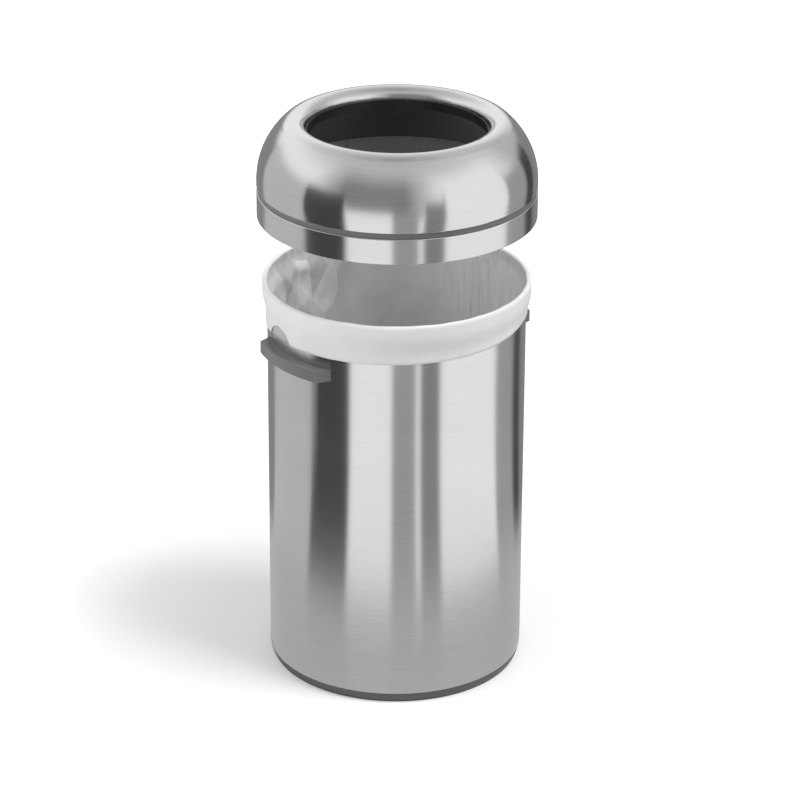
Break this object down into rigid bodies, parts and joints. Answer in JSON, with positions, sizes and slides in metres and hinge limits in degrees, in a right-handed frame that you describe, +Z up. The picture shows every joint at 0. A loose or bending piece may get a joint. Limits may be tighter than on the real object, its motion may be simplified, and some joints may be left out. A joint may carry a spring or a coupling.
{
  "type": "open-top trash can",
  "caption": "Round floor-standing trash can with a drawstring bag folded over its rim, side handles and a lift-off domed lid with an open mouth.",
  "frame": {"origin": "centre of the foot ring, on the floor", "axes": "+Z up, -Y towards the front, side handles on +X and -X"},
  "size_m": [0.415, 0.4076, 0.8491],
  "materials": {
    "steel": "brushed along the circumference",
    "grey_plastic": "fine moulded texture",
    "dark_plastic": "satin moulded",
    "black_plastic": "satin moulded",
    "film": "thin translucent film",
    "ribbon": "flat film ribbon",
    "plate_steel": "galvanised",
    "screw_steel": "plated"
  },
  "bodies": {
    "can": {"can_wall": "steel", "can_floor": "steel", "base_ring": "grey_plastic", "base_screws": "screw_steel", "handle_right": "grey_plastic", "handle_left": "grey_plastic", "handle_plate_right": "plate_steel", "handle_plate_left": "plate_steel", "handle_screws_right": "screw_steel", "handle_screws_left": "screw_steel", "liner_bag": "film", "drawstring": "ribbon"},
    "lid": {"lid_band": "steel", "lid_dome": "steel", "lid_ring": "grey_plastic", "lid_liner": "dark_plastic", "opening_collar": "black_plastic", "lid_screws": "screw_steel"}
  },
  "joints": [
    {"name": "lid_lift", "type": "slide", "parent": "can", "child": "lid", "axis": [0, 0, 1], "range_m": [-0.159, 0.1]}
  ]
}
